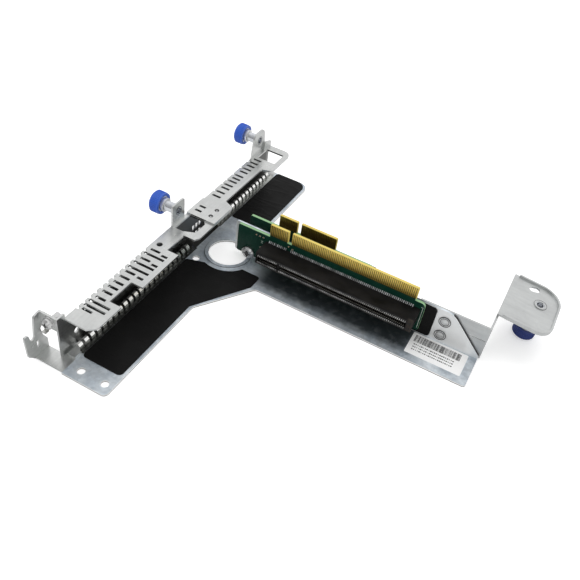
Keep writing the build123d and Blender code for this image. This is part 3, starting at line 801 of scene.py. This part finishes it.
def slot_comb(name, way, groups):
    """Ribs on both lips of a slot mouth, the spring tips behind them and the worn outer edges.

    The number in a name counts all the pieces before it, and ribs and tips come in pairs.
    """
    slot_low, slot_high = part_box(name)
    mouth_y = slot_high.y if way > 0 else slot_low.y
    middle_z = (slot_low.z + slot_high.z) / 2
    lips = [(start, count, side) for start, count in groups for side in (-1, 1)]
    for pair, (start, count, side) in enumerate(lips):
        lip_z = middle_z + side * (mouth_half + rib_size[2] / 2)
        rib = grow(
            f"{name}_ribs_{2 * pair}", bars, rib_finish, "cage",
            Count=count + 1, Start=(start - pitch / 2, mouth_y, lip_z), Size=rib_size,
        )
        tip_start = (start, mouth_y - way * tip_inset, middle_z + side * tip_height)
        tip = grow(
            f"{name}_tips_{2 * pair}", bars, tip_metal, "cage",
            Count=count, Start=tip_start, Size=tip_size,
        )
    first = groups[0][0] - pitch
    last = groups[-1][0] + groups[-1][1] * pitch
    for number, side in enumerate((-1, 1), 2 * len(lips)):
        edge = grow(
            f"{name}_edge_{number}", bars, edge_finish, "cage", Count=1,
            Start=((first + last) / 2, mouth_y, middle_z + side * edge_height),
            Size=(last - first, rib_size[1], edge_width),
        )


slot_comb("front_slot", -1, front_groups)
slot_comb("rear_slot", 1, rear_groups)
slot_low, slot_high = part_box("front_slot")
slot_middle = (slot_low.z + slot_high.z) / 2
for number, side in enumerate((-1, 1)):
    pocket_z = slot_middle + side * pocket_height
    pocket = grow(
        f"front_slot_pocket_{number}", bars, pocket_shade, "cage", Count=2, Pitch=pocket_pitch,
        Start=(slot_high.x - pocket_inset, slot_low.y, pocket_z), Size=pocket_size,
    )


# %% [markdown]
# Small chip parts sit by the slot: a ceramic body between two tinned ends. One tree makes all of
# one kind from a list of places, so adding a part is adding a point.

# %% Chip parts
def block_on_points():
    tree, given = geometry_tree("block on points", Size=(1.0 * mm, 0.5 * mm, 0.5 * mm))
    block = add(tree, "GeometryNodeMeshCube", {"Size": given["Size"]}).outputs[0]
    return geometry_end(tree, given, given["Geometry"], block)


blocks = block_on_points()
ceramic = mottled(
    "tan ceramic", (0.42, 0.30, 0.20), roughness=0.5,
    tones=((0.48, 0.35, 0.24), (0.30, 0.21, 0.14)), scale=1500.0,
)
board_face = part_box("front_board")[0].y
chip_places = [
    (-7.6, 20.0), (-5.4, 20.0), (-3.2, 20.0), (-4.4, 12.8), (-4.4, 10.9),
    (12.0, 21.2), (14.4, 20.4), (86.6, 16.9), (86.6, 13.5), (86.6, 10.1),
]
chip_size = (1.0 * mm, 0.5 * mm, 0.5 * mm)
cap_size = (0.28 * mm, 0.52 * mm, 0.54 * mm)
cap_offset = 0.45 * mm
chip_y = board_face - chip_size[1] / 2
centres = [(x * mm, chip_y, z * mm) for x, z in chip_places]
ends = [(x + side * cap_offset, y, z) for x, y, z in centres for side in (-1, 1)]
grow("chip_bodies", blocks, ceramic, "cage", centres, Size=chip_size)
grow("chip_ends", blocks, lead_tin, "cage", ends, Size=cap_size)

# %% [markdown]
# White ink marks lie on the lacquer: two short strokes by the slot and a thin frame round its
# right end. They are thin blocks from the same tree, laid almost flush with the board. Each mark
# has its width and height and the places of its middles, in millimetres on the board's face.

# %% Printed marks
print_ink = mottled(
    "white print", (0.62, 0.70, 0.62), roughness=0.6,
    tones=((0.42, 0.52, 0.42), (0.74, 0.80, 0.74)), scale=900.0, detail=3.0,
)
ink_depth = 0.04 * mm
ink_y = board_face - ink_depth / 2
marks = {
    "print_strokes": (1.2, 0.3, [(-3.9, 17.0), (-3.9, 15.9)]),
    "print_upright": (0.22, 14.0, [(88.9, 12.6)]),
    "print_top": (1.1, 0.22, [(88.35, 19.6)]),
}
for name, (width, height, middles) in marks.items():
    spots = [(x * mm, ink_y, z * mm) for x, z in middles]
    mark = grow(name, blocks, print_ink, "cage", spots, Size=(width * mm, ink_depth, height * mm))


# %% [markdown]
# A press joint shows as two nested grooves, dark with painted shade, and a crowned middle. A circle
# swept with a small round profile gives a groove, and the crown is a flattened dome. The two
# dimples on the raised strap are smaller ones of the same kind: a flat dark crown of painted shade
# under a small bright one.

# %% Press joints and dimples
def swept_ring():
    tree, given = geometry_tree("swept ring", Radius=2.6 * mm, Thickness=0.2 * mm)
    wide = {"Resolution": 32, "Radius": given["Radius"]}
    thin = {"Resolution": 8, "Radius": given["Thickness"]}
    circle = add(tree, "GeometryNodeCurvePrimitiveCircle", wide).outputs[0]
    profile = add(tree, "GeometryNodeCurvePrimitiveCircle", thin).outputs[0]
    sweep = {"Curve": circle, "Profile Curve": profile}
    ring = add(tree, "GeometryNodeCurveToMesh", sweep).outputs[0]
    return geometry_end(tree, given, given["Geometry"], ring)


def crown():
    tree, given = geometry_tree("crown", Radius=1.6 * mm, Height=0.3 * mm)
    ball_inputs = {"Segments": 24, "Rings": 12, "Radius": given["Radius"]}
    ball = add(tree, "GeometryNodeMeshUVSphere", ball_inputs).outputs[0]
    flat = reckon(tree, "DIVIDE", given["Height"], given["Radius"])
    squash = add(tree, "ShaderNodeCombineXYZ", {"X": 1.0, "Y": 1.0, "Z": flat}).outputs[0]
    return geometry_end(tree, given, given["Geometry"], ball, squash)


rings = swept_ring()
crowns = crown()
stand_up = Matrix.Rotation(math.radians(90), 4, "X")


def on_wall(piece, spot):
    """Turns a piece that was made flat so that it faces the front, at a spot on a wall."""
    piece.data.transform(Matrix.Translation(spot) @ stand_up)
    return piece


# Dark tone as painted shade in the grooves, the dimple wells and the screw recess.
groove = mottled(
    "dark groove with painted shade", (0.04, 0.04, 0.04), roughness=0.5,
    tones=((0.015, 0.015, 0.015), (0.075, 0.075, 0.075)), scale=300.0,
)
crown_steel = bright_metal("pressed crown", (0.72, 0.73, 0.73), 0.4)
joint_x = 101.1 * mm
joint_heights = (15.2 * mm, 5.8 * mm)
joint_radii = {"outer": 3.05 * mm, "inner": 2.15 * mm}
joint_crown = {"Radius": 1.8 * mm, "Height": 0.35 * mm}
groove_thickness = 0.17 * mm
wall_face = 1.72 * mm
for number, height in enumerate(joint_heights):
    spot = Vector((joint_x, wall_face, height))
    for ring_name, radius in joint_radii.items():
        ring = grow(
            f"clinch_{ring_name}_{number}", rings, groove, "cage",
            Radius=radius, Thickness=groove_thickness,
        )
        on_wall(ring, spot)
    middle_crown = grow(f"clinch_crown_{number}", crowns, crown_steel, "cage", **joint_crown)
    on_wall(middle_crown, spot)

dimple_x = -33.9 * mm
dimple_rows = (1.3 * mm, -4.8 * mm)
strap_top = 22.62 * mm
well_size = {"Radius": 1.28 * mm, "Height": 0.08 * mm}
peak_size = {"Radius": 0.55 * mm, "Height": 0.3 * mm}
for number, y in enumerate(dimple_rows):
    spot = [(dimple_x, y, strap_top)]
    well = grow(f"dimple_well_{number}", crowns, groove, "cage", spot, **well_size)
    peak = grow(f"dimple_peak_{number}", crowns, crown_steel, "cage", spot, **peak_size)

# %% [markdown]
# Round each captive screw the sheet has a worn dark line where the sleeve is swaged in. Its place
# is read from the sheet itself: the furthest point along the screw's axis, close to that axis.

# %% Swaged rims
lean = math.radians(5.0)
screw_axes = {"near": (1, 0, 0), "far": (1, 0, 0), "end": (math.sin(lean), 0, math.cos(lean))}
carriers = {"near": "front_bulkhead", "far": "rear_bulkhead", "end": "end_bracket"}
rim_sizes = {
    "near": (2.35 * mm, 0.16 * mm),
    "far": (2.35 * mm, 0.16 * mm),
    "end": (3.35 * mm, 0.09 * mm),
}
close_by = 3.8 * mm


def knob_frame(thumb):
    """The middle of a knob, its axis, and the turn that lays Z along that axis."""
    low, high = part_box(thumb + "_thumb_knob")
    axis = Vector(screw_axes[thumb])
    return (low + high) / 2, axis, axis.to_track_quat("Z", "Y").to_matrix().to_4x4()


for thumb, (radius, thickness) in rim_sizes.items():
    centre, axis, turned = knob_frame(thumb)
    reach = 0.0
    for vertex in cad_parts[carriers[thumb]].data.vertices:
        along = (vertex.co - centre).dot(axis)
        if (vertex.co - centre - axis * along).length < close_by:
            reach = max(reach, along)
    rim = grow(thumb + "_seat_rim", rings, groove, "cage", Radius=radius, Thickness=thickness)
    rim.data.transform(Matrix.Translation(centre + axis * reach) @ turned)

# %% [markdown]
# Through the two wide openings of the flange, a pair of bright lines shows low on the side wall,
# with a tick across the near end of each pair. All are thin bright blocks as painted highlights.

# %% Painted sill highlights
# Thin bright blocks as painted highlights.
sill_highlight = bright_metal("painted sill highlight", (0.86, 0.86, 0.84), 0.25)
sill_spans = ((-67.6 * mm, -55.5 * mm), (-20.9 * mm, -7.1 * mm))
sill_x = -45.4 * mm
sill_depth = 0.2 * mm
sill_width = 0.22 * mm
sill_heights = (3.5 * mm, 2.7 * mm)
tick_height = 3.1 * mm
tick_size = (sill_depth, 0.3 * mm, 1.9 * mm)
for number, (near_y, far_y) in enumerate(sill_spans):
    sills = [(sill_x, (near_y + far_y) / 2, height) for height in sill_heights]
    sill_size = (sill_depth, far_y - near_y, sill_width)
    lines = grow(f"sill_lines_{number}", blocks, sill_highlight, "cage", sills, Size=sill_size)
    tick = [(sill_x, near_y, tick_height)]
    end_tick = grow(f"sill_tick_{number}", blocks, sill_highlight, "cage", tick, Size=tick_size)


# %% [markdown]
# The knobs have a ring of fine grip ribs. A circle of points carries one thin rod each, and the
# whole ring is turned onto the knob's axis. Each ring rides on the body that turns with its knob.

# %% Knob grip ribs
def grip_ring():
    tree, given = geometry_tree(
        "grip ring", Count=40, Radius=5.0 * mm, Length=4.2 * mm, Thickness=0.22 * mm
    )
    ring_inputs = {"Vertices": given["Count"], "Radius": given["Radius"]}
    ring = add(tree, "GeometryNodeMeshCircle", ring_inputs).outputs[0]
    rod_inputs = {"Vertices": 6, "Radius": given["Thickness"], "Depth": given["Length"]}
    rod = add(tree, "GeometryNodeMeshCylinder", rod_inputs, fill_type="TRIANGLE_FAN").outputs[0]
    return geometry_end(tree, given, ring, rod)


grips = grip_ring()
knob_low, knob_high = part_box("near_thumb_knob")
knob_radius = (knob_high.z - knob_low.z) / 2


def knob_grip(thumb, body_name, finish):
    centre, _, turned = knob_frame(thumb)
    piece = grow(thumb + "_knob_grip", grips, finish, body_name, Radius=knob_radius)
    piece.data.transform(Matrix.Translation(centre) @ turned)


knob_grip("near", "near_turner", knob_blue)
knob_grip("far", "far_turner", knob_blue)
knob_grip("end", "end_turner", knob_shaded_blue)

# %% [markdown]
# The board screw has a serrated flange and a six lobed recess. The same rods, shorter and thicker,
# stand round its rim as teeth, and six dark ones round a dark middle paint the recess's shade.

# %% Board screw teeth and recess
flange_inset = 1.3 * mm
teeth_size = {"Count": 14, "Radius": 3.35 * mm, "Length": 1.2 * mm, "Thickness": 0.42 * mm}
lobe_size = {"Count": 6, "Radius": 1.15 * mm, "Length": 0.1 * mm, "Thickness": 0.5 * mm}
recess_size = {"Radius": 1.2 * mm, "Height": 0.06 * mm}
head_low, head_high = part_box("front_board_screw")
face_spot = Vector(((head_low.x + head_high.x) / 2, head_low.y, (head_low.z + head_high.z) / 2))
flange_spot = face_spot + Vector((0, flange_inset, 0))
teeth = grow("screw_teeth", grips, screw_steel, "cage", **teeth_size)
lobes = grow("screw_lobes", grips, groove, "cage", **lobe_size)
recess = grow("screw_recess", crowns, groove, "cage", **recess_size)
on_wall(teeth, flange_spot)
on_wall(lobes, face_spot)
on_wall(recess, face_spot)


# %% [markdown]
# The label shows a bar code and three rows of dashes, and nothing that can be read. Bars of a few
# widths stand side by side; a fixed seed keeps them the same each time.

# %% Label bars
narrowest, widest = 0.25, 0.95


def bar_code():
    tree, given = geometry_tree(
        "bar code", Count=48, Pitch=0.5 * mm, Start=(0.0, 0.0, 0.0), Height=5.0 * mm
    )
    corners = {"Vertices X": 2, "Vertices Y": 2}
    bar_inputs = {"Size X": given["Pitch"], "Size Y": given["Height"], **corners}
    bar = add(tree, "GeometryNodeMeshGrid", bar_inputs).outputs[0]
    draw = {2: narrowest, 3: widest, "Seed": 7}
    width = add(tree, "FunctionNodeRandomValue", draw, data_type="FLOAT").outputs[1]
    size = add(tree, "ShaderNodeCombineXYZ", {"X": width, "Y": 1.0, "Z": 1.0}).outputs[0]
    return geometry_end(tree, given, point_row(tree, given), bar, size)


ink = mottled(
    "matt black ink", (0.02, 0.02, 0.022), roughness=0.6,
    tones=((0.015, 0.015, 0.017), (0.06, 0.06, 0.06)), scale=2500.0,
)
codes = bar_code()
code_size = {"Count": 48, "Pitch": 0.52 * mm, "Height": 5.0 * mm}
label_low, label_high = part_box("label")
ink_top = label_high.z + 0.01 * mm
code_start = (label_low.x + 2.0 * mm, label_high.y - 3.9 * mm, ink_top)
code = grow("label_bars", codes, ink, "cage", Start=code_start, **code_size)

dash_rows = 3
dash_inset = 3.0 * mm
first_row = 8.2 * mm
row_step = 1.9 * mm
dash_size = {"Count": 22, "Pitch": 1.0 * mm, "Height": 0.75 * mm}
for number in range(dash_rows):
    row_start = (label_low.x + dash_inset, label_high.y - first_row - row_step * number, ink_top)
    dashes = grow(f"label_line_{number}", codes, ink, "cage", Start=row_start, **dash_size)

# %% [markdown]
# The last cell prints the solids' box.

# %% Sizes and finish
print("cad box", [tuple(round(c, 4) for c in v) for v in cad_box])
